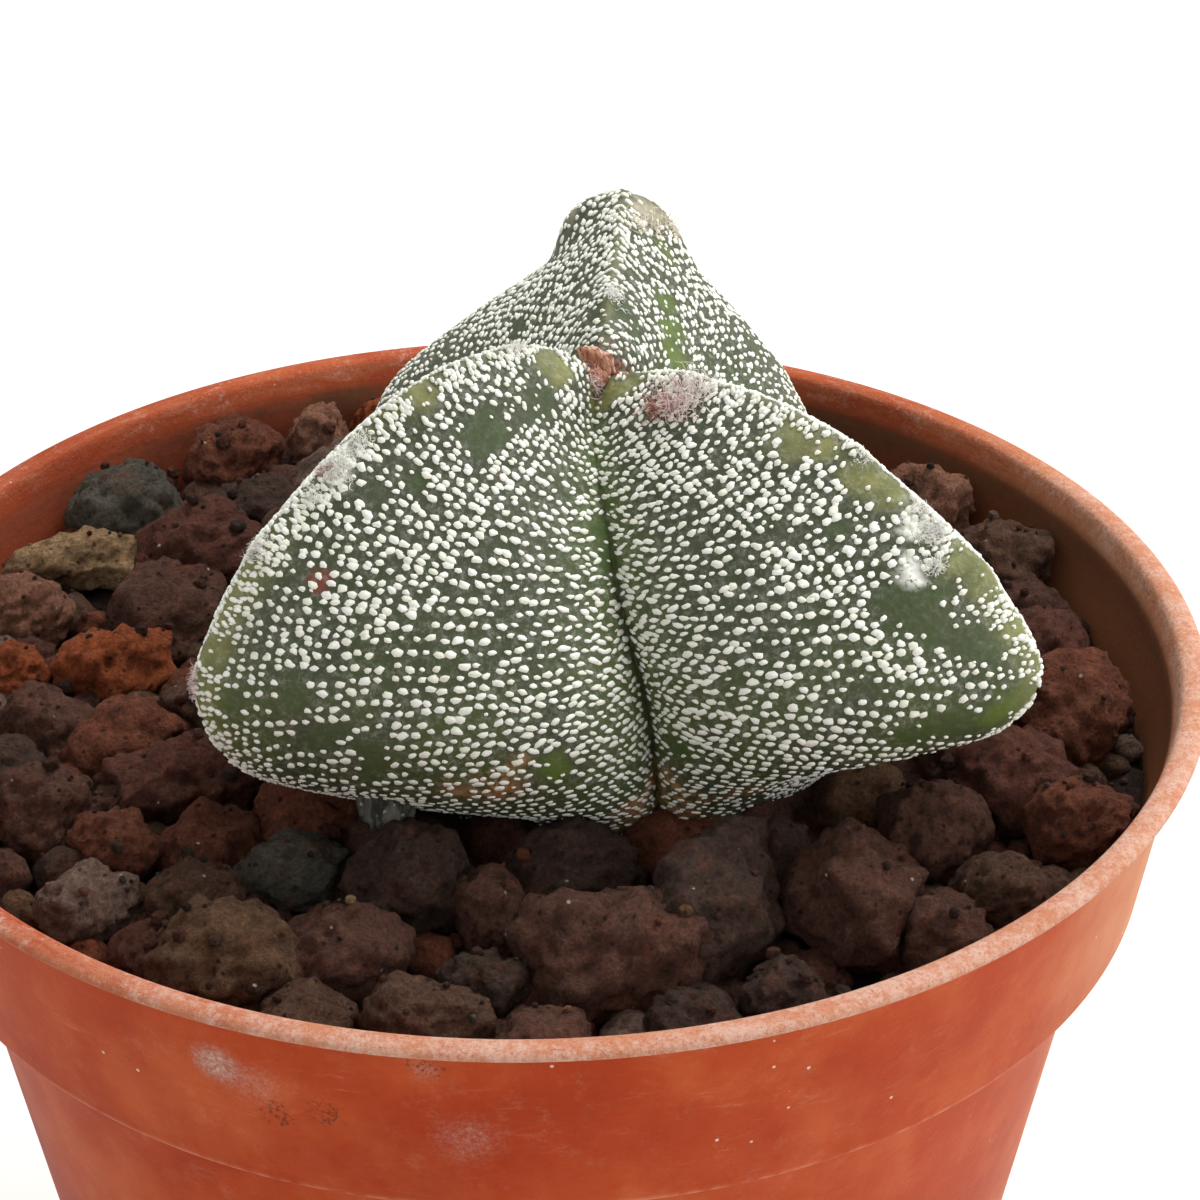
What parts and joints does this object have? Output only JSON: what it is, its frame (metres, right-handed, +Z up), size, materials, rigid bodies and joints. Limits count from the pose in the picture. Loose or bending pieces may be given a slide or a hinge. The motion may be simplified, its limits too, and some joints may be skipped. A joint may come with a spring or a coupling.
{
  "type": "potted bishop's cap cactus",
  "caption": "Squat three-ribbed bishop's cap cactus, flecked all over with white tufts, set in lava gravel in a terracotta-coloured plastic nursery pot with a collar and a rounded lip.",
  "frame": {"origin": "centre of the circle that the pot stands on", "axes": "+Z up through the pot's axis, -Y towards the furrow between the two front ribs, +X to the right of someone facing that furrow"},
  "size_m": [0.085, 0.085, 0.098],
  "materials": {
    "pot": "satin",
    "gravel": "matte",
    "cactus": "matte"
  },
  "bodies": {
    "root": {"pot": "pot", "gravel": "gravel", "cactus": "cactus"}
  },
  "joints": []
}
